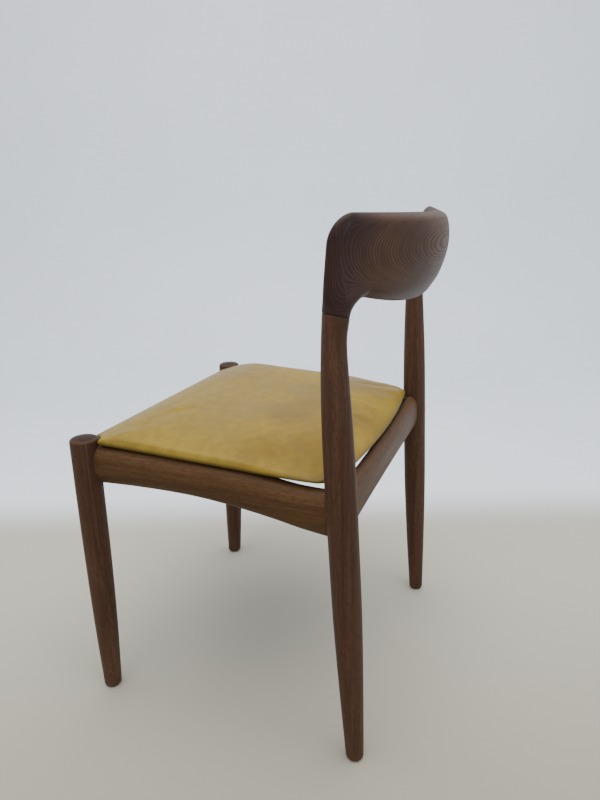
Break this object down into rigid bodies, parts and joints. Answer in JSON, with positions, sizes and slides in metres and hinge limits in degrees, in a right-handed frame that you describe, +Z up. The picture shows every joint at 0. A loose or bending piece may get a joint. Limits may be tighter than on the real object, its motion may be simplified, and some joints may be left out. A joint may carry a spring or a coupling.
{
  "type": "dining chair",
  "caption": "Wooden dining chair: round tapering legs, a carved wrap-around backrest standing on the rear legs, arched rails and a thin leather-covered seat pad.",
  "frame": {"origin": "on the floor, under the middle of the chair", "axes": "+Z up, -Y towards the chair's front, +X towards the sitter's left"},
  "size_m": [0.5222, 0.5126, 0.7795],
  "materials": {
    "walnut_legs": "satin oiled dark walnut, straight grain along the leg",
    "walnut_rails": "satin oiled walnut, straight grain along the rail",
    "carved_backrest": "satin greyish dark hardwood, figured by the carving",
    "beech": "raw beech",
    "plywood": "raw plywood",
    "mustard_leather": "semi-matt mustard leather, mottled",
    "seat_foam": "soft upholstery foam",
    "black_cloth": "thin matt cloth",
    "zinc_steel": "zinc plated"
  },
  "bodies": {
    "root": {"front_leg_left": "walnut_legs", "front_leg_right": "walnut_legs", "rear_leg_left": "walnut_legs", "rear_leg_right": "walnut_legs", "side_rail_left": "walnut_rails", "side_rail_right": "walnut_rails", "front_rail": "walnut_rails", "back_rail": "walnut_rails", "backrest": "carved_backrest", "backrest_dowel_front_left": "beech", "backrest_dowel_front_right": "beech", "backrest_dowel_rear_left": "beech", "backrest_dowel_rear_right": "beech", "corner_block_front_left": "beech", "corner_block_front_right": "beech", "corner_block_rear_left": "beech", "corner_block_rear_right": "beech", "block_screw_cross_front_left": "zinc_steel", "block_screw_cross_front_right": "zinc_steel", "block_screw_cross_rear_left": "zinc_steel", "block_screw_cross_rear_right": "zinc_steel", "block_screw_side_front_left": "zinc_steel", "block_screw_side_front_right": "zinc_steel", "block_screw_side_rear_left": "zinc_steel", "block_screw_side_rear_right": "zinc_steel", "seat_crossbar": "beech", "seat_board": "plywood", "seat_foam": "seat_foam", "seat_cover": "mustard_leather", "dust_cover": "black_cloth", "seat_screw_front_left": "zinc_steel", "seat_screw_front_right": "zinc_steel", "seat_screw_rear_left": "zinc_steel", "seat_screw_rear_right": "zinc_steel"}
  },
  "joints": []
}
